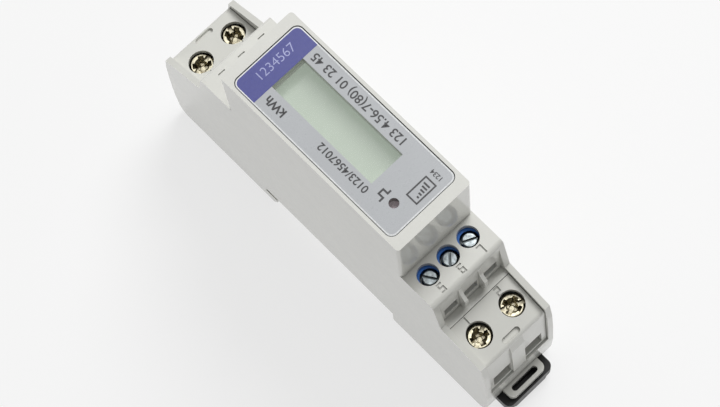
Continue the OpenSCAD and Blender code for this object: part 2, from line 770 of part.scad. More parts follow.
// A chip body with a row of legs on its two long sides, lying on the board
module chip(at, l, w, h, n) {
    step = l / n;
    translate([part_x, at[0], at[1]]) {
        box(0.1, h, -l / 2, l / 2, -w / 2, w / 2);
        for (s = [0, 1], i = [0:n - 1]) mirror([0, 0, s])
            translate([0, -l / 2 + (i + 0.5) * step, w / 2])
                box(0, 0.35, -step / 4, step / 4, -eps, 0.9);
    }
}

module metering_chip() {
    color([0.1, 0.1, 0.11]) chip(meter_chip_at, meter_chip_l, meter_chip_w, meter_chip_h, chip_legs);
}

module microcontroller() {
    color([0.1, 0.1, 0.11]) chip(controller_at, controller_w, controller_w, controller_h, chip_legs);
}

module optocoupler() {
    color([0.93, 0.93, 0.9]) chip(opto_at, opto_l, opto_w, opto_h, 2);
}

module crystal() {
    color([0.75, 0.76, 0.77]) translate([part_x + 0.25, crystal_at[0], crystal_at[1]])
        box(0, crystal_h, -crystal_l / 2, crystal_l / 2, -crystal_w / 2, crystal_w / 2);
}

module chip_resistors() {
    color([0.2, 0.2, 0.22]) for (i = [0:chip_count - 1])
        translate([part_x, chip_row_at[0] + i * 2.4, chip_row_at[1]])
            box(0, 0.6, -0.8, 0.8, -1.6, 1.6);
}

module film_capacitor() {
    y = film_cap_at[0];
    z = film_cap_at[1];
    color([0.85, 0.72, 0.25]) box(part_x, film_cap_x, y, y + film_cap_l, z, z + film_cap_h);
}

module reservoir_capacitor() {
    color([0.16, 0.18, 0.3]) translate([part_x, bulk_cap_at[0], bulk_cap_at[1]])
        rotate([0, 90, 0]) cylinder(h = bulk_cap_x, d = bulk_cap_d);
}

module varistor() {
    color([0.2, 0.35, 0.7]) translate([part_x + 1.6, varistor_at[0], varistor_at[1]])
        rotate([0, 90, 0]) cylinder(h = varistor_t, d = varistor_d);
}

module fusible_resistor() {
    color([0.45, 0.62, 0.45])
        translate([part_x + 0.4 + resistor_d / 2, resistor_at[0], resistor_at[1]])
            rotate([90, 0, 0]) cylinder(h = resistor_l, d = resistor_d, center = true);
}

// ------------------------------------------------------------ current path
// Bar from a clamp inward and down to the floor of the case, top end
module bar_end(x, y_stop) {
    translate([x, 0, 0]) across(-bar_w / 2, bar_w / 2)
        polygon([[bar_tip_y, bar_z], [bar_tip_y, bar_z + bar_t], [leg_in, bar_z + bar_t],
            [leg_in, bar_low_z + bar_t], [y_stop, bar_low_z + bar_t],
            [y_stop, bar_low_z], [leg_y, bar_low_z], [leg_y, bar_z]]);
}

module line_bar_top() {
    color([0.76, 0.5, 0.32]) bar_end(term_x, shunt_l / 2);
}

module line_bar_bottom() {
    color([0.76, 0.5, 0.32]) mirror([0, 1, 0]) bar_end(term_x, shunt_l / 2);
}

module neutral_bar() {
    color([0.76, 0.5, 0.32]) for (s = [0, 1]) mirror([0, s, 0]) bar_end(-term_x, -eps);
}

module shunt() {
    color([0.62, 0.57, 0.5]) translate([term_x, 0, 0])
        box(-bar_w / 2, bar_w / 2, -shunt_l / 2, shunt_l / 2, bar_low_z + 0.2,
            bar_low_z + bar_t - 0.2);
}

// -------------------------------------------------------------- terminals
// Corner signs of the four main terminals
corner = [[-1, -1], [1, -1], [-1, 1], [1, 1]];

// Screw with a combination slot in its top
module clamp_screw(d, z0, z1, slot, cross) {
    depth = d * 0.26;
    translate([0, 0, z0]) difference() {
        union() {
            cylinder(h = z1 - z0 - 0.3, d = d);
            translate([0, 0, z1 - z0 - 0.3]) cylinder(h = 0.3, d1 = d, d2 = d - 0.5);
        }
        translate([0, 0, z1 - z0 - depth]) {
            translate([-d, -slot / 2, 0]) cube([2 * d, slot, depth + 1]);
            if (cross > 0) for (a = [0, 90]) rotate([0, 0, a])
                translate([-cross / 2, -slot * 0.65, -0.4])
                    cube([cross, slot * 1.3, depth + 1.4]);
        }
    }
}

module terminal_screw(i) {
    c = corner[i - 1];
    turn = [28, -22, 12, 75];
    color([0.74, 0.72, 0.62]) translate([c[0] * term_x, c[1] * term_y, 0])
        rotate([0, 0, turn[i - 1]])
            clamp_screw(screw_d - 2 * thread_gap, bar_z + bar_t + tip_gap, screw_top_z, 0.9,
                screw_d * 0.6);
}

// Cage with a threaded top that rises to clamp the cable
module cage(w, l, h, top_t, floor_z, side_t, d) {
    difference() {
        box(-w / 2, w / 2, -l / 2, l / 2, 0, h);
        box(-w / 2 + side_t, w / 2 - side_t, -l, l, floor_z, h - top_t);
        cylinder(h = h + 1, d = d);
    }
    box(-w / 2 + side_t - eps, w / 2 - side_t + eps, -l / 2, l / 2, 0, floor_z);
}

module terminal_clamp(i) {
    c = corner[i - 1];
    color([0.72, 0.72, 0.7]) translate([c[0] * term_x, c[1] * term_y, cage_z])
        cage(cage_w, cage_l, cage_h, cage_top, cage_floor, cage_wall, screw_d);
}

module signal_block() {
    hb = ix - 0.1;
    cavity = sig_cage_w / 2 + sig_gap;
    reach = sig_cage_l / 2 + sig_gap;
    color([0.09, 0.23, 0.45]) difference() {
        box(-hb, hb, -sig_block_out, -sig_block_in, sig_base, sig_top);
        for (i = [-1:1]) translate([i * sig_pitch, -sig_y, 0]) {
            box(-cavity, cavity, -reach, reach, sig_cage_z - 0.2,
                sig_cage_z + sig_cage_h + sig_travel + 0.2);
            cylinder(h = 3 * over + sig_top, d = sig_bore);
            box(-wire_w / 2, wire_w / 2, -over, 0, wire_z, wire_z + wire_h);
            box(-sig_pin_w - 0.1, sig_pin_w + 0.1, 0, over, sig_tongue_z - 0.1,
                sig_tongue_z + sig_tongue_t + 0.1);
        }
    }
}

module signal_screw(i) {
    turn = [-57, 48, -26];
    color([0.8, 0.82, 0.83]) translate([(i - 2) * sig_pitch, -sig_y, 0])
        rotate([0, 0, turn[i - 1]])
            clamp_screw(sig_d - 2 * thread_gap, sig_tongue_z + sig_tongue_t + tip_gap,
                shoulder_z - sig_sink, 0.55, 0);
}

module signal_clamp(i) {
    color([0.72, 0.72, 0.7]) translate([(i - 2) * sig_pitch, -sig_y, sig_cage_z])
        cage(sig_cage_w, sig_cage_l, sig_cage_h, sig_cage_top, sig_floor, sig_cage_wall, sig_d);
}

// Tongue through the cage, down behind the block and across to the board
module signal_contact(i) {
    x = (i - 2) * sig_pitch;
    leg_out = x + 2 * sig_pin_w;
    leg_end = sig_leg_y + sig_tongue_t;
    low = sig_base - 2.6 - 1.5 * i;
    top = sig_tongue_z + sig_tongue_t;
    color([0.78, 0.72, 0.5]) {
        box(x - sig_pin_w, x + sig_pin_w, -sig_y - sig_cage_l / 2 + 0.5, leg_end,
            sig_tongue_z, top);
        box(x, leg_out, sig_leg_y, leg_end, sig_tongue_z, top);
        box(x + sig_pin_w, leg_out, sig_leg_y, leg_end, low, sig_tongue_z + eps);
        box(part_x, leg_out, sig_leg_y, leg_end, low, low + 0.8);
    }
}

// ------------------------------------------------------------------- latch
module latch_2d(w) {
    y0 = -tab_y;
    y1 = -(foot_y - hook_reach);
    translate([0, (y0 + y1) / 2]) round_rect(w, y1 - y0, 1.4);
}

module rail_latch() {
    wp = spring_w + 0.8;
    color([0.13, 0.13, 0.13]) difference() {
        union() {
            translate([0, 0, latch_step]) linear_extrude(latch_top - latch_step) latch_2d(latch_w);
            translate([0, 0, latch_bottom]) linear_extrude(latch_step - latch_bottom + eps)
                latch_2d(latch_w - 2 * latch_neck - 0.02);
        }
        // Step that leaves room for the lip of the rail
        box(-hw, hw, -foot_y - 0.2, 0, latch_nose_top, 1);
        box(-wp / 2, wp / 2, -pocket_out - latch_travel - 0.6, -pocket_in, latch_step + 0.15,
            1);
        // Pry slot under the loop
        translate([0, -hl - loop_out + 1.4, latch_top - 1.2]) linear_extrude(over)
            stadium(loop_slot_l - 0.6, loop_slot_w - 0.2);
    }
}

// Flat serpentine spring between the post and the latch
module latch_spring() {
    y0 = -pocket_out + post_t + 0.05;
    y1 = -pocket_in - 0.05;
    step = (y1 - y0 - spring_t) / (2 * spring_turns);
    z0 = latch_step + 0.4;
    w = spring_w / 2;
    color([0.7, 0.71, 0.72]) {
        for (i = [0:2 * spring_turns]) translate([0, y0 + i * step, z0])
            box(-w, w, 0, spring_t, 0, spring_h);
        for (i = [0:2 * spring_turns - 1]) translate([0, y0 + i * step, z0]) mirror([i % 2, 0, 0])
            box(w - spring_t, w, 0, step + spring_t, 0, spring_h);
    }
}

housing_shell();
side_plate();
bottom_terminal_cover();
top_terminal_cover();
window_lens();
face_film();
lcd_glass();
lcd_holder();
lcd_backlight();
lcd_pins();
pulse_led();
display_board();
main_board();
board_header();
metering_chip();
microcontroller();
crystal();
optocoupler();
chip_resistors();
film_capacitor();
reservoir_capacitor();
varistor();
fusible_resistor();
line_bar_top();
shunt();
line_bar_bottom();
neutral_bar();
signal_block();
signal_screw(1);  // signal_screw_1
signal_screw(2);  // signal_screw_2
signal_screw(3);  // signal_screw_3
signal_clamp(1);  // signal_clamp_1
signal_clamp(2);  // signal_clamp_2
signal_clamp(3);  // signal_clamp_3
signal_contact(1);  // signal_contact_1
signal_contact(2);  // signal_contact_2
signal_contact(3);  // signal_contact_3
terminal_screw(1);  // terminal_screw_1
terminal_screw(2);  // terminal_screw_2
terminal_screw(3);  // terminal_screw_3
terminal_screw(4);  // terminal_screw_4
terminal_clamp(1);  // terminal_clamp_1
terminal_clamp(2);  // terminal_clamp_2
terminal_clamp(3);  // terminal_clamp_3
terminal_clamp(4);  // terminal_clamp_4
rail_latch();
latch_spring();
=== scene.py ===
"""Looks for the one-module energy meter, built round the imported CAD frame."""
import json
import math

import bmesh
import bpy
from mathutils import Matrix, Vector


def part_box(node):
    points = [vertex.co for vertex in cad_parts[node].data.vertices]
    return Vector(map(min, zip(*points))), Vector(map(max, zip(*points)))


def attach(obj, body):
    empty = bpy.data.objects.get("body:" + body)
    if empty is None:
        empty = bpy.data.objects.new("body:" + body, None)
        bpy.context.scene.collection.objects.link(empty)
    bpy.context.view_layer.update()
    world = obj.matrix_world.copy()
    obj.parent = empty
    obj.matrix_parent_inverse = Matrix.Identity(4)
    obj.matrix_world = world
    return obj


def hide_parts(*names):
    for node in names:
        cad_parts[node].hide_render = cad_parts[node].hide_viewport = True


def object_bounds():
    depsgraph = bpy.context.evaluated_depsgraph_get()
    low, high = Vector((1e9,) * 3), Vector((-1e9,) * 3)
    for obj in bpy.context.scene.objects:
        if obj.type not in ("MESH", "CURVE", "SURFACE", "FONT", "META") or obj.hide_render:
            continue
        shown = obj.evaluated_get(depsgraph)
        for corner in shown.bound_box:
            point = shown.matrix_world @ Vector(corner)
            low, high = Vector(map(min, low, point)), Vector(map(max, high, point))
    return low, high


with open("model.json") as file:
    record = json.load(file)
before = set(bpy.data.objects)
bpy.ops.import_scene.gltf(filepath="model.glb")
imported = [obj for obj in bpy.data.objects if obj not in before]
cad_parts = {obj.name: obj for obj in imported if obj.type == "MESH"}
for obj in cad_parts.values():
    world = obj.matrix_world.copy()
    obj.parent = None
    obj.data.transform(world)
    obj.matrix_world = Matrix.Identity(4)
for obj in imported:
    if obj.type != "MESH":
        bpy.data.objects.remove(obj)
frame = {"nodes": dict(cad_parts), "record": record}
CAD_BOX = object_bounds()
NODES = frame["nodes"]
SLOT_OF = {sub["node"]: sub["material_slot"] for sub in frame["record"]["subparts"]}
MM = 0.001
TAU = 2 * math.pi

# ------------------------------------------------------------------ camera
# Direction to the camera, and its roll about the line of sight
AZ, EL, ROLL = math.radians(-33.6), math.radians(72.28), math.radians(-10.75)
# Distance from the middle of the face, and the shift across the view
DISTANCE, MOVE_RIGHT, MOVE_UP = 403.07 * MM, 2.83 * MM, -12.82 * MM
# Sensor width and focal length, mm
SENSOR, FOCAL = 36.0, 116.5
# Nearest and farthest distance drawn
NEAR, FAR = 0.01, 20


def make_camera():
    """Camera at the photograph's angle, aimed from the middle of the face."""
    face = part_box("housing_shell")[1].z
    back = Vector((math.sin(AZ) * math.cos(EL), -math.cos(AZ) * math.cos(EL), math.sin(EL)))
    right = Vector((math.cos(AZ), math.sin(AZ), 0))
    up = back.cross(right)
    cam_right = right * math.cos(ROLL) + up * math.sin(ROLL)
    cam_up = up * math.cos(ROLL) - right * math.sin(ROLL)
    data = bpy.data.cameras.new("camera")
    data.sensor_width = SENSOR
    data.lens = FOCAL
    data.clip_start, data.clip_end = NEAR, FAR
    cam = bpy.data.objects.new("camera", data)
    bpy.context.scene.collection.objects.link(cam)
    place = Matrix((cam_right, cam_up, back)).transposed().to_4x4()
    place.translation = (Vector((0, 0, face)) + back * DISTANCE
                         + cam_right * MOVE_RIGHT + cam_up * MOVE_UP)
    cam.matrix_world = place
    bpy.context.scene.camera = cam


make_camera()


# ---------------------------------------------------------- material helpers
# Most noise values lie between these two
NOISE_LOW, NOISE_HIGH = 0.3, 0.7
# Tighter limits, for colours that change over quickly
PATCH_LOW, PATCH_HIGH = 0.35, 0.65
# Agreement of the rounded and the flat normal on a plain face and on a sharp edge
FACE_DOT, EDGE_DOT = 0.985, 0.86


def linear(r, g, b):
    """Linear colour from 0-255 display values."""
    return tuple((c / 255 / 12.92) if c <= 10 else ((c / 255 + 0.055) / 1.055) ** 2.4
                 for c in (r, g, b)) + (1.0,)


class Mat:
    """Small builder round a Principled material in object coordinates."""

    def __init__(self, name, rgb, rough, metal=0.0, spec=0.5):
        self.mat = bpy.data.materials.new(name)
        self.mat.use_nodes = True
        self.tree = self.mat.node_tree
        self.bsdf = self.tree.nodes["Principled BSDF"]
        self.rgb = linear(*rgb)
        self.bsdf.inputs["Base Color"].default_value = self.rgb
        self.bsdf.inputs["Roughness"].default_value = rough
        self.bsdf.inputs["Metallic"].default_value = metal
        self.bsdf.inputs["Specular IOR Level"].default_value = spec
        self.coord = self.node("ShaderNodeTexCoord").outputs["Object"]
        self.height = None

    def node(self, kind, **inputs):
        """New shader node, with links or values on its inputs."""
        n = self.tree.nodes.new(kind)
        for key, value in inputs.items():
            self.fill(n.inputs[key.replace("_", " ")], value)
        return n

    def link(self, a, b):
        self.tree.links.new(a, b)

    def fill(self, sock, value):
        """Link an output to a socket, or set the socket to a plain value."""
        if isinstance(value, bpy.types.NodeSocket):
            self.link(value, sock)
        else:
            sock.default_value = value

    def stretched(self, scale):
        """Object coordinates multiplied along each axis."""
        return self.node("ShaderNodeMapping", Vector=self.coord, Scale=scale).outputs[0]

    def noise(self, size_mm, detail, vector=None):
        """Noise of a feature size, with finer noise added in so many octaves."""
        return self.node("ShaderNodeTexNoise", Vector=vector or self.coord,
                         Scale=1 / (size_mm * MM), Detail=detail, Roughness=0.55).outputs[0]

    def patches(self, size_mm, detail, top=1.0):
        """Cloudy patches, from 0 to a top value."""
        return self.remap(self.noise(size_mm, detail), PATCH_LOW, PATCH_HIGH, 0, top)

    def hollows(self, reach_mm, full, none, top):
        """A top value in narrow hollows, falling to 0 in the open; the mask for painted shade."""
        ao = self.node("ShaderNodeAmbientOcclusion", Distance=reach_mm * MM)
        return self.remap(ao.outputs["AO"], full, none, top, 0)

    def remap(self, value, lo, hi, to_lo, to_hi):
        """Value stretched from one range to another, held at the ends."""
        n = self.node("ShaderNodeMapRange", Value=value)
        for key, v in zip(("From Min", "From Max", "To Min", "To Max"), (lo, hi, to_lo, to_hi)):
            n.inputs[key].default_value = v
        return n.outputs[0]

    def mix(self, fac, a, b):
        """Colour a, turning into colour b as the factor rises to 1."""
        n = self.tree.nodes.new("ShaderNodeMix")
        n.data_type = "RGBA"
        for sock, value in ((n.inputs[0], fac), (n.inputs[6], a), (n.inputs[7], b)):
            self.fill(sock, value)
        return n.outputs[2]

    def math(self, op, a, b):
        n = self.tree.nodes.new("ShaderNodeMath")
        n.operation = op
        for sock, value in zip(n.inputs, (a, b)):
            self.fill(sock, value)
        return n.outputs[0]

    def color(self, value):
        self.link(value, self.bsdf.inputs["Base Color"])

    def rough(self, value, lo, hi, start=NOISE_LOW):
        """Roughness that follows a noise between two values."""
        self.link(self.remap(value, start, NOISE_HIGH, lo, hi), self.bsdf.inputs["Roughness"])

    def emit(self, color, strength):
        self.bsdf.inputs["Emission Color"].default_value = color
        self.bsdf.inputs["Emission Strength"].default_value = strength

    def bump(self, value, depth_mm, strength=1.0):
        """Relief laid over the relief that is already there."""
        n = self.node("ShaderNodeBump", Height=value, Strength=strength, Distance=depth_mm * MM)
        if self.height:
            self.link(self.height, n.inputs["Normal"])
        self.height = n.outputs[0]
        self.link(self.height, self.bsdf.inputs["Normal"])

    def edge(self, radius_mm):
        """0 on flat faces, rising to 1 on sharp edges."""
        bevel = self.node("ShaderNodeBevel", Radius=radius_mm * MM)
        geo = self.node("ShaderNodeNewGeometry")
        dot = self.tree.nodes.new("ShaderNodeVectorMath")
        dot.operation = "DOT_PRODUCT"
        self.link(bevel.outputs[0], dot.inputs[0])
        self.link(geo.outputs["Normal"], dot.inputs[1])
        return self.remap(dot.outputs["Value"], FACE_DOT, EDGE_DOT, 0.0, 1.0)


def shade(rgb, k):
    """Linear colour of a display colour made k times as strong."""
    return linear(*(min(255, c * k) for c in rgb))


def moulded(name, rgb, rough=0.3, grain=0.6, depth=0.0004, mottle=0.012, wear_and_highlight=0.22, spec=0.5,
            glow=0.0):
    """Injection-moulded plastic: spark texture, cloudy colour, painted shade in hollows, edges
    paled by wear and a painted highlight.
    """
    m = Mat(name, rgb, rough, spec=spec)
    # glow is a painted glow, lifting unlit parts such as the LED out of shade
    m.emit(m.rgb, glow)
    base = m.mix(m.patches(9, 4), shade(rgb, 1 - mottle), shade(rgb, 1 + mottle * 0.5))
    specks = m.remap(m.noise(0.5, 2), 0.7, 0.78, 0.0, 0.06)
    base = m.mix(specks, base, shade(rgb, 0.84))
    # painted shade: the plastic is darkened where the hollows would be in shade
    base = m.mix(m.hollows(0.45, 0.35, 0.9, 0.5), base, shade(rgb, 0.62))
    # edges paled partly by wear and partly as a painted highlight
    edge_wear_and_highlight = m.math("MULTIPLY", m.edge(0.22), m.remap(m.noise(1.4, 3), 0.4, 0.62, 0.15, wear_and_highlight))
    m.color(m.mix(edge_wear_and_highlight, base, shade(rgb, 1.12)))
    m.rough(m.noise(1.1, 5), rough - 0.04, rough + 0.05)
    m.bump(m.noise(grain, 2), depth, 0.25)
    m.bump(m.noise(9, 1), 0.004, 0.1)
    return m.mat


def plated(name, rgb, rough=0.28, grime_and_shade=(60, 55, 42)):
    """Plated steel: turning marks, fine scratches, and grime with painted shade in the hollows."""
    m = Mat(name, rgb, rough, metal=1.0)
    lines = m.noise(0.25, 2, vector=m.stretched((1, 9, 1)))
    tone = m.mix(m.patches(0.7, 4), shade(rgb, 0.8), shade(rgb, 1.08))
    # grime with painted shade: darker where the hollows would be in shade
    m.color(m.mix(m.hollows(1.1, 0.35, 0.85, 0.9), tone, linear(*grime_and_shade)))
    m.rough(lines, rough - 0.08, rough + 0.16)
    m.bump(lines, 0.004, 0.5)
    m.bump(m.noise(0.9, 3), 0.012, 0.5)
    return m.mat


def board(name, rgb):
    """Solder mask over etched tracks."""
    m = Mat(name, rgb, 0.3)
    brick = m.node("ShaderNodeTexBrick", Vector=m.coord, Scale=420.0)
    brick.inputs["Mortar Size"].default_value = 0.06
    tracks = m.remap(brick.outputs["Fac"], 0, 1, 0, 0.7)
    m.color(m.mix(tracks, linear(*rgb), shade(rgb, 1.45)))
    m.rough(m.noise(0.6, 3), 0.22, 0.42)
    m.bump(brick.outputs["Fac"], 0.03, 0.6)
    return m.mat


def rolled(name, rgb, rough=0.35):
    """Rolled sheet metal with lengthwise streaks and tarnish."""
    m = Mat(name, rgb, rough, metal=1.0)
    streak = m.noise(0.3, 3, vector=m.stretched((6, 0.4, 6)))
    tarnish = m.remap(m.noise(3.2, 5), 0.45, 0.7, 0, 0.6)
    m.color(m.mix(tarnish, linear(*rgb), shade(rgb, 0.68)))
    m.rough(streak, rough - 0.1, rough + 0.12)
    m.bump(streak, 0.004, 0.5)
    return m.mat


def lens(name):
    """Clear acrylic lens with faint wipe marks."""
    m = Mat(name, (120, 124, 124), 0.04)
    m.bsdf.inputs["Alpha"].default_value = 0.06
    m.rough(m.noise(2.5, 4), 0.03, 0.12, start=0.4)
    m.bump(m.noise(8, 2), 0.01, 0.2)
    return m.mat


def printed_film(name, rgb):
    """Back-printed polycarbonate film: satin, faint pearl mottle."""
    m = Mat(name, rgb, 0.3)
    flake = m.remap(m.noise(0.12, 2), 0.4, 0.6, 0, 1)
    base = m.mix(flake, shade(rgb, 0.975), shade(rgb, 1.025))
    m.color(m.mix(m.patches(7, 3, 0.35), base, shade(rgb, 0.96)))
    m.rough(m.noise(0.8, 4), 0.24, 0.4)
    m.bump(m.noise(0.2, 2), 0.003, 0.5)
    return m.mat


def ink(name, rgb, patchy=0.08):
    """Screen-printed ink with slight unevenness, also used for the painted highlights along the
    film's edge.
    """
    m = Mat(name, rgb, 0.35)
    tone = m.remap(m.noise(0.25, 3), NOISE_LOW, NOISE_HIGH, 0, 1)
    m.color(m.mix(tone, shade(rgb, 1 - patchy), shade(rgb, 1 + patchy)))
    m.rough(m.noise(0.4, 2), 0.28, 0.45)
    m.bump(m.noise(0.15, 2), 0.002, 0.5)
    return m.mat


def display(name, rgb):
    """Blank display glass: soft green cast, rear reflector grain, and a painted glow against the
    shade of its recess.
    """
    m = Mat(name, rgb, 0.18)
    # painted glow: lifts the shade that falls on the display at the bottom of its recess
    m.emit((0.86, 1.0, 0.84, 1), 0.33)
    base = m.mix(m.patches(0.09, 2), shade(rgb, 0.985), shade(rgb, 1.01))
    m.color(m.mix(m.patches(10, 2, 0.4), base, shade(rgb, 0.955)))
    m.rough(m.noise(1.5, 3), 0.14, 0.26)
    m.bump(m.noise(0.09, 2), 0.001, 0.4)
    return m.mat


# One material for each slot in the record, with display colours
MATS = {
    "housing_plastic": moulded("housing_plastic", (217, 217, 211), 0.13, spec=0.42),
    "cover_plastic": moulded("cover_plastic", (217, 217, 211), 0.2, wear_and_highlight=0.2, spec=0.42),
    "clear_lens": lens("clear_lens"),
    "printed_film": printed_film("printed_film", (176, 179, 182)),
    "display_glass": display("display_glass", (138, 146, 135)),
    "white_plastic": moulded("white_plastic", (228, 228, 224), 0.4),
    "light_guide": moulded("light_guide", (236, 238, 230), 0.25),
    "tinned_wire": plated("tinned_wire", (205, 204, 200), 0.3),
    # painted glow: the unlit LED made to glow, lifting it out of the shade of its hole
    "red_lamp": moulded("red_lamp", (214, 198, 203), 0.35, mottle=0.02, glow=0.14),
    "circuit_board": board("circuit_board", (28, 92, 52)),
    "black_plastic": moulded("black_plastic", (26, 26, 27), 0.36, grain=0.4, depth=0.004,
                             mottle=0.12, wear_and_highlight=0.3, spec=0.3),
    "crystal_can": rolled("crystal_can", (196, 197, 198), 0.28),
    "optocoupler_body": moulded("optocoupler_body", (236, 235, 228), 0.45),
    "capacitor_case": moulded("capacitor_case", (214, 176, 62), 0.3),
    "capacitor_can": rolled("capacitor_can", (48, 54, 92), 0.35),
    "varistor_coat": moulded("varistor_coat", (48, 88, 176), 0.35),
    "resistor_coat": moulded("resistor_coat", (120, 158, 118), 0.4),
    "copper": rolled("copper", (206, 148, 108), 0.3),
    "resistance_alloy": rolled("resistance_alloy", (168, 156, 138), 0.4),
    "blue_plastic": moulded("blue_plastic", (46, 112, 200), 0.3, mottle=0.06, wear_and_highlight=0.3),
    "zinc_steel": plated("zinc_steel", (172, 180, 183), 0.36, grime_and_shade=(84, 90, 92)),
    "nickel_steel": plated("nickel_steel", (190, 184, 162), 0.26, grime_and_shade=(104, 95, 78)),
    "spring_steel": rolled("spring_steel", (176, 178, 180), 0.3),
}
INK_DARK = ink("ink_dark", (26, 26, 30), 0.12)
INK_BLUE = ink("ink_blue", (62, 66, 142), 0.03)
INK_PALE = ink("ink_pale", (160, 164, 208))
# painted highlight: white strip along the film's edge round the blue band
BAND_EDGE_HIGHLIGHT = ink("band_edge_highlight_ink", (244, 244, 246))
# painted highlight: pale ring along the film's edge, lightening the shade of the gap round it
FILM_EDGE_HIGHLIGHT = ink("film_edge_highlight", (214, 216, 217))


# ------------------------------------------------------------- CAD dressing
# Width of the rounding on each piece's hard edges, mm
BEVEL = {
    "housing_shell": 0.15, "side_plate": 0.2, "bottom_terminal_cover": 0.12,
    "top_terminal_cover": 0.12, "rail_latch": 0.3, "signal_block": 0.12, "lcd_holder": 0.12,
    "lcd_glass": 0.06, "lcd_backlight": 0.15, "display_board": 0.06, "main_board": 0.08,
    "board_header": 0.08, "metering_chip": 0.07, "microcontroller": 0.07, "crystal": 0.35,
    "optocoupler": 0.08, "film_capacitor": 0.5, "reservoir_capacitor": 0.4, "varistor": 1.1,
    "fusible_resistor": 0.7, "line_bar_top": 0.12, "line_bar_bottom": 0.12, "neutral_bar": 0.12,
    "shunt": 0.08, "latch_spring": 0.08, "window_lens": 0.05, "chip_resistors": 0.05,
}
# The same for the clamps and contacts, mm
SHEET_BEVEL = 0.08
# Faces flatter than this are one face, and edges sharper than this are hard, degrees
FLAT_ANGLE, HARD_ANGLE = 0.5, 28


def soften(obj, width_mm):
    """Round the hard edges of a CAD mesh, which itself stays as it is."""
    flat = obj.modifiers.new("flat", "DECIMATE")
    flat.decimate_type = "DISSOLVE"
    flat.angle_limit = math.radians(FLAT_ANGLE)
    bevel = obj.modifiers.new("edges", "BEVEL")
    bevel.width = width_mm * MM
    bevel.segments = 2
    bevel.limit_method = "ANGLE"
    bevel.angle_limit = math.radians(HARD_ANGLE)
    bevel.use_clamp_overlap = True
    bevel.harden_normals = False


def dress():
    """Give every CAD piece its material and softened edges."""
    for name, obj in NODES.items():
        obj.data.materials.clear()
        obj.data.materials.append(MATS[SLOT_OF[name]])
        sheet = "clamp" in name or "contact" in name
        width = BEVEL.get(name, SHEET_BEVEL if sheet else 0)
        if width:
            soften(obj, width)


dress()


# ------------------------------------------------------------- piece helpers
def add(name, mesh, mat, body, stands_for=()):
    """New piece that rides a body, in the place of any CAD nodes it stands for."""
    obj = bpy.data.objects.new(name, mesh)
    bpy.context.scene.collection.objects.link(obj)
    mesh.materials.clear()
    mesh.materials.append(mat)
    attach(obj, body)
    if stands_for:
        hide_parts(*stands_for)
    return obj


def mesh_of(name, verts, faces):
    """Mesh from points in metres and faces that list them."""
    mesh = bpy.data.meshes.new(name)
    mesh.from_pydata([tuple(v) for v in verts], [], faces)
    mesh.validate()
    return mesh


def slab(name, outline, z0, z1, holes=()):
    """Closed plate from an outline in mm, between two heights in mm."""
    bm = bmesh.new()
    loops = [outline, *holes]
    edges = []
    for loop in loops:
        vs = [bm.verts.new((x * MM, y * MM, z0 * MM)) for x, y in loop]
        edges += [bm.edges.new((vs[i], vs[(i + 1) % len(vs)])) for i in range(len(vs))]
    filled = bmesh.ops.triangle_fill(bm, edges=edges, use_beauty=True)
    faces = [g for g in filled["geom"] if isinstance(g, bmesh.types.BMFace)]
    out = bmesh.ops.extrude_face_region(bm, geom=faces)
    moved = [g for g in out["geom"] if isinstance(g, bmesh.types.BMVert)]
    bmesh.ops.translate(bm, verts=moved, vec=(0, 0, (z1 - z0) * MM))
    bmesh.ops.recalc_face_normals(bm, faces=bm.faces)
    mesh = bpy.data.meshes.new(name)
    bm.to_mesh(mesh)
    bm.free()
    return mesh


def arc(cx, cy, r, a0, a1, n=8):
    """Points of an arc about cx, cy, from one angle to another in degrees."""
    return [(cx + r * math.cos(math.radians(a0 + (a1 - a0) * i / n)),
             cy + r * math.sin(math.radians(a0 + (a1 - a0) * i / n))) for i in range(n + 1)]


def round_rect(x0, x1, y0, y1, r_top, r_low):
    """Rounded rectangle outline, with its own radius at the high and low Y ends."""
    def corner(cx, cy, r, a0):
        return arc(cx, cy, r, a0, a0 + 90) if r > 0 else [(cx, cy)]
    return (corner(x1 - r_top, y1 - r_top, r_top, 0) + corner(x0 + r_top, y1 - r_top, r_top, 90)
            + corner(x0 + r_low, y0 + r_low, r_low, 180)
            + corner(x1 - r_low, y0 + r_low, r_low, 270))


# --------------------------------------------------------------- face print
# Thickness of one layer of ink, and radius of the film's corners, mm
INK_T, FILM_R = 0.012, 1.3
# Pale ring painted along the film's edge as a highlight: distance from the film's edge, width, and
# radius of its inner corners, mm
BORDER_IN, BORDER_W, BORDER_R = 0.04, 0.26, 1.1
# Band: its lower edge (Y), distance from the film's edge, width of the painted highlight along its
# rim, and corner radius, mm
BAND_Y, BAND_IN, BAND_RIM, BAND_R = 14.65, 0.1, 0.14, 1.18
# Height of the font's em for each mm of numeral height
EM = 1.38
# Characters on the band: text, x, y, height and thickening, mm
BAND_TEXT = ("1234567", 0.2, 17.5, 1.85, -0.02)
# Characters that run along the face, with the piece's name first
LONG_TEXTS = (
    ("print_unit", "kWh", -5.4, 11.5, 1.62, 0.07),
    ("print_left_numerals", "0123/4567012", -4.85, -4.9, 1.5, 0.035),
    ("print_right_numerals", "123 4.56-7(80) 01 23 45", 5.85, 2.2, 1.72, 0.035),
    ("print_small_numerals", "1234", 5.6, -17.3, 0.95, 0.025),
)
# Square pulse sign: start, height of its step, stroke, and its three runs towards -X, mm
PULSE_X, PULSE_Y, PULSE_STEP, PULSE_STROKE = -1.85, -13.7, 1.1, 0.36
PULSE_RUNS = (0.8, 1.1, 0.95)
# Box with rising bars: its sides, the width of its frame, and its outer and inner radius, mm
BOX_X, BOX_Y, BOX_FRAME = (-0.6, 4.3), (-18.7, -16.0), 0.3
BOX_R_OUT, BOX_R_IN = 0.05, 0.04
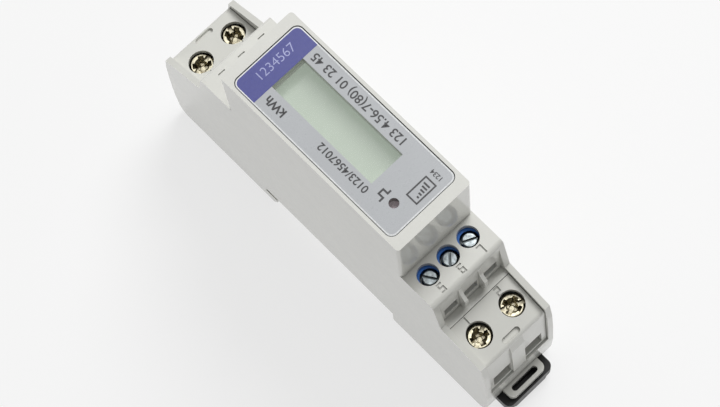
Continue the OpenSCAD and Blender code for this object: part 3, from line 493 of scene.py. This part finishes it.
# Bars: number, stroke, x of the first, spacing, foot (Y), shortest, and growth, mm
BARS, BAR_STROKE = 5, 0.34
BAR_X, BAR_PITCH, BAR_Y = 0.55, 0.65, -18.05
BAR_MIN, BAR_STEP = 0.45, 0.24


def print_layer(name, outline, z, mat, holes=()):
    """One flat area of ink lying at height z in mm."""
    add(name, slab(name, outline, z, z + INK_T, holes), mat, "meter")


def print_line(name, points, stroke, z):
    """Open line of dark ink of constant width, with mitred corners."""
    left, right = [], []
    for i, p in enumerate(points):
        p = Vector(p)
        before = (p - Vector(points[i - 1])).normalized() if i else None
        after = (Vector(points[i + 1]) - p).normalized() if i < len(points) - 1 else None
        along = ((before or after) + (after or before)).normalized()
        side = Vector((-along.y, along.x))
        run = before or after
        reach = stroke / 2 / side.dot(Vector((-run.y, run.x)))
        left.append(tuple(p + side * reach))
        right.append(tuple(p - side * reach))
    print_layer(name, left + right[::-1], z, INK_DARK)


def print_text(name, text, x, y, height, thicker, z, mat=INK_DARK, angle=90):
    """Plain numerals or a unit, centred at x, y and turned by an angle in degrees."""
    font = bpy.data.curves.new(name, "FONT")
    font.body = text
    font.size = height * MM * EM
    font.align_x, font.align_y = "CENTER", "CENTER"
    font.extrude = INK_T * MM / 2
    font.offset = thicker * MM
    shaped = bpy.data.objects.new(name + "_tmp", font)
    bpy.context.scene.collection.objects.link(shaped)
    depsgraph = bpy.context.evaluated_depsgraph_get()
    mesh = bpy.data.meshes.new_from_object(shaped.evaluated_get(depsgraph))
    bpy.data.objects.remove(shaped)
    turn = Matrix.Rotation(math.radians(angle), 4, "Z")
    mesh.transform(Matrix.Translation((x * MM, y * MM, (z + INK_T / 2) * MM)) @ turn)
    add(name, mesh, mat, "meter")


def pulse_points():
    """Corners of the pulse sign: baseline, step up, top, step down, baseline."""
    x1, x2, x3 = (PULSE_X - sum(PULSE_RUNS[:n]) for n in (1, 2, 3))
    high = PULSE_Y + PULSE_STEP
    return [(PULSE_X, PULSE_Y), (x1, PULSE_Y), (x1, high), (x2, high), (x2, PULSE_Y),
            (x3, PULSE_Y)]


def face_print():
    """Painted highlights along the film's edge, band, characters and signs on top of the face film.
    """
    lo, hi = (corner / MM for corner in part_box("face_film"))
    top = hi.z

    def inset(d, r_top, y_low=None, r_low=0):
        """Film outline moved in by d, down to its low end or only to y_low."""
        y0 = lo.y + d if y_low is None else y_low
        return round_rect(lo.x + d, hi.x - d, y0, hi.y - d, r_top, r_low)

    # painted highlight along the film's edge
    print_layer("film_edge_highlight_ring", inset(BORDER_IN, FILM_R, r_low=FILM_R), top, FILM_EDGE_HIGHLIGHT,
                [inset(BORDER_IN + BORDER_W, BORDER_R, r_low=BORDER_R)])
    # painted highlight along the film's edge beside the band
    print_layer("band_edge_highlight_strip", inset(BAND_IN, FILM_R, BAND_Y), top + INK_T, BAND_EDGE_HIGHLIGHT)
    print_layer("print_band", inset(BAND_IN + BAND_RIM, BAND_R, BAND_Y), top + 2 * INK_T, INK_BLUE)
    print_text("print_band_numerals", *BAND_TEXT, top + 3 * INK_T, INK_PALE, 0)
    for row in LONG_TEXTS:
        print_text(*row, top)
    print_line("print_pulse_sign", pulse_points(), PULSE_STROKE, top)
    hole = round_rect(BOX_X[0] + BOX_FRAME, BOX_X[1] - BOX_FRAME, BOX_Y[0] + BOX_FRAME,
                      BOX_Y[1] - BOX_FRAME, BOX_R_IN, BOX_R_IN)
    outer = round_rect(*BOX_X, *BOX_Y, BOX_R_OUT, BOX_R_OUT)
    print_layer("print_box", outer, top, INK_DARK, [hole])
    for i in range(BARS):
        x = BAR_X + BAR_PITCH * i
        height = BAR_MIN + BAR_STEP * i
        print_line("print_box_bar_%d" % (i + 1), [(x, BAR_Y), (x, BAR_Y + height)], BAR_STROKE, top)


face_print()


# -------------------------------------------------------------------- screws
# Kind, prefix of the bodies, pitch in mm, material slot, and turn of each drive in degrees
SCREWS = (
    ("terminal", "main", 0.8, "nickel_steel", (28, -22, 12, 75)),
    ("signal", "small", 0.5, "zinc_steel", (-57, 48, -26)),
)
# Sides of a screw, and rings of points in each turn of its thread
AROUND, RINGS_PER_TURN = 48, 8
# Depth of the thread, the plain top end, the run-out and the tapered tip, in pitches
THREAD_DEPTH, PLAIN_END, RUN_OUT, TIP_LENGTH = 0.324, 1.2, 0.7, 1.2
# Share of the thread cut off at the crest and filled in at the root
TRUNCATION = 0.12
# Radius at the very tip, and the chamfer at the top, as shares of the screw's radius
TIP_R, CHAMFER = 0.55, 0.16
# Straight slot: length, width and depth, as shares of the screw's radius
SLOT_LENGTH, SLOT_WIDTH = 3, 0.36
SLOT_DEPTH = {"terminal": 0.3, "signal": 0.42}
# The same for each arm of the cross recess, and its size at the floor as a share of the top
CROSS_LENGTH, CROSS_WIDTH, CROSS_DEPTH, CROSS_FLOOR = 1.52, 0.46, 0.75, 0.55
# Cone in the middle of the recess: radius at the top and at the floor, and depth, as such shares
CONE_TOP, CONE_LOW, CONE_DEPTH = 0.62, 0.2, 0.85
# How far the slot cutter and the recess cutters stand out of the screw, mm
SLOT_OVER, CROSS_OVER = 1, 0.05
# Edges sharper than this are split, so that they shade as hard edges, degrees
SPLIT_ANGLE = 35


def thread_mesh(name, r, pitch, length):
    """Threaded shank that stands on Z = 0, with a plain chamfered top end."""
    rings = int(length / pitch * RINGS_PER_TURN)
    thread_top = length - PLAIN_END * pitch
    verts, faces = [], []
    for j in range(rings + 1):
        z = length * j / rings
        fade = min(1, max(0, (thread_top - z) / (RUN_OUT * pitch)))
        taper = min(1, TIP_R + z / (TIP_LENGTH * pitch))
        cut_back = max(0, z - (length - CHAMFER * r))
        for i in range(AROUND):
            phase = (z / pitch - i / AROUND) % 1
            tooth = (1 - abs(2 * phase - 1) - TRUNCATION) / (1 - 2 * TRUNCATION)
            tooth = min(1, max(0, tooth))
            radius = (r - THREAD_DEPTH * pitch * (1 - tooth) * fade) * taper - cut_back
            a = TAU * i / AROUND
            verts.append((radius * math.cos(a) * MM, radius * math.sin(a) * MM, z * MM))
    for j in range(rings):
        for i in range(AROUND):
            k = (i + 1) % AROUND
            faces.append((j * AROUND + i, j * AROUND + k, (j + 1) * AROUND + k,
                          (j + 1) * AROUND + i))
    faces.append(tuple(range(AROUND))[::-1])
    faces.append(tuple(rings * AROUND + i for i in range(AROUND)))
    return mesh_of(name, verts, faces)


def prism(loops):
    """Closed body through a stack of equal loops of (x, y, z) in mm."""
    n = len(loops[0])
    verts = [tuple(c * MM for c in p) for loop in loops for p in loop]
    faces = [(j * n + i, j * n + (i + 1) % n, (j + 1) * n + (i + 1) % n, (j + 1) * n + i)
             for j in range(len(loops) - 1) for i in range(n)]
    faces += [tuple(range(n))[::-1], tuple((len(loops) - 1) * n + i for i in range(n))]
    return mesh_of("cutter", verts, faces)


def cut(mesh, cutters):
    """Mesh less every cutter, by exact booleans."""
    base = bpy.data.objects.new("base_tmp", mesh)
    bpy.context.scene.collection.objects.link(base)
    made = []
    for i, c in enumerate(cutters):
        cutter = bpy.data.objects.new("cut_tmp_%d" % i, c)
        bpy.context.scene.collection.objects.link(cutter)
        made.append(cutter)
        mod = base.modifiers.new("cut", "BOOLEAN")
        mod.operation, mod.solver, mod.object = "DIFFERENCE", "EXACT", cutter
    depsgraph = bpy.context.evaluated_depsgraph_get()
    result = bpy.data.meshes.new_from_object(base.evaluated_get(depsgraph))
    for obj in made + [base]:
        bpy.data.objects.remove(obj)
    return result


def taper_box(lx, ly, z_top, z_low, shrink, angle):
    """Tapered slot cutter of length lx and width ly, turned about Z."""
    c, s = math.cos(angle), math.sin(angle)

    def loop(z, k):
        pts = [(-lx / 2 * k, -ly / 2 * k), (lx / 2 * k, -ly / 2 * k), (lx / 2 * k, ly / 2 * k),
               (-lx / 2 * k, ly / 2 * k)]
        return [(x * c - y * s, x * s + y * c, z) for x, y in pts]
    return prism([loop(z_low, shrink), loop(z_top, 1)])


def cone(r_top, r_low, z_top, z_low, n=24):
    """Cone cutter about Z, cut off at both ends."""
    return prism([[(r * math.cos(TAU * i / n), r * math.sin(TAU * i / n), z) for i in range(n)]
                  for r, z in ((r_low, z_low), (r_top, z_top))])


def drive_cutters(kind, r, length, angle):
    """Cutters for the slot of every screw, and for the cross recess of the main ones."""
    cutters = [taper_box(SLOT_LENGTH * r, SLOT_WIDTH * r, length + SLOT_OVER,
                         length - SLOT_DEPTH[kind] * r, 1, angle)]
    if kind == "terminal":
        for turn in (45, 135):
            cutters.append(taper_box(CROSS_LENGTH * r, CROSS_WIDTH * r, length + CROSS_OVER,
                                     length - CROSS_DEPTH * r, CROSS_FLOOR,
                                     angle + math.radians(turn)))
        cutters.append(cone(CONE_TOP * r, CONE_LOW * r, length + CROSS_OVER,
                            length - CONE_DEPTH * r))
    return cutters


def screws():
    """Threaded screws with drives, in the place of the plain CAD ones."""
    for kind, prefix, pitch, slot, turns in SCREWS:
        for i, turn in enumerate(turns, 1):
            node = "%s_screw_%d" % (kind, i)
            lo, hi = (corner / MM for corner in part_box(node))
            mid = (lo + hi) / 2
            r = (hi.x - lo.x) / 2
            length = hi.z - lo.z
            mesh = cut(thread_mesh(node, r, pitch, length),
                       drive_cutters(kind, r, length, math.radians(turn)))
            mesh.transform(Matrix.Translation((mid.x * MM, mid.y * MM, lo.z * MM)))
            piece = add(node + "_detailed", mesh, MATS[slot], "%s_screw_%d" % (prefix, i),
                        [node])
            piece.data.shade_smooth()
            split = piece.modifiers.new("sharp", "EDGE_SPLIT")
            split.split_angle = math.radians(SPLIT_ANGLE)


screws()


# --------------------------------------------------------------------- stage
# Half the floor's side in metres, its grey, its own glow, and the light of the sky
FLOOR_HALF, FLOOR_GREY, FLOOR_GLOW, SKY_GLOW = 3.0, 0.25, 0.7, 0.25
# Round lamps: what they face and their diameter in metres, then name, place and power of each
LAMP_AIM, LAMP_D = Vector((0, 0, 0.02)), 0.5
LAMPS = (("key", (0.5, 0.14, 0.78), 6.0), ("glow", (0.16, 0.25, 0.95), 1.2))


def make_floor():
    """Plain pale floor under the lowest point of the meter."""
    z, h = CAD_BOX[0].z, FLOOR_HALF
    mesh = mesh_of("floor", [(-h, -h, z), (h, -h, z), (h, h, z), (-h, h, z)], [(0, 1, 2, 3)])
    floor = bpy.data.objects.new("floor", mesh)
    bpy.context.scene.collection.objects.link(floor)
    mat = bpy.data.materials.new("floor")
    mat.use_nodes = True
    inputs = mat.node_tree.nodes["Principled BSDF"].inputs
    inputs["Base Color"].default_value = (FLOOR_GREY, FLOOR_GREY, FLOOR_GREY, 1)
    inputs["Roughness"].default_value = 1.0
    inputs["Specular IOR Level"].default_value = 0.0
    inputs["Emission Color"].default_value = (1, 1, 1, 1)
    inputs["Emission Strength"].default_value = FLOOR_GLOW
    mesh.materials.append(mat)


def make_lights():
    """Even white sky with two soft lamps."""
    world = bpy.data.worlds.new("studio")
    bpy.context.scene.world = world
    world.use_nodes = True
    sky = world.node_tree.nodes["Background"].inputs
    sky["Color"].default_value = (1, 1, 1, 1)
    sky["Strength"].default_value = SKY_GLOW
    for name, place, power in LAMPS:
        light = bpy.data.lights.new(name, "AREA")
        light.shape, light.size, light.energy = "DISK", LAMP_D, power
        lamp = bpy.data.objects.new(name, light)
        bpy.context.scene.collection.objects.link(lamp)
        lamp.location = place
        lamp.rotation_mode = "QUATERNION"
        lamp.rotation_quaternion = (LAMP_AIM - Vector(place)).to_track_quat("-Z", "Y")


make_floor()
make_lights()
bpy.context.scene.view_settings.view_transform = "Standard"
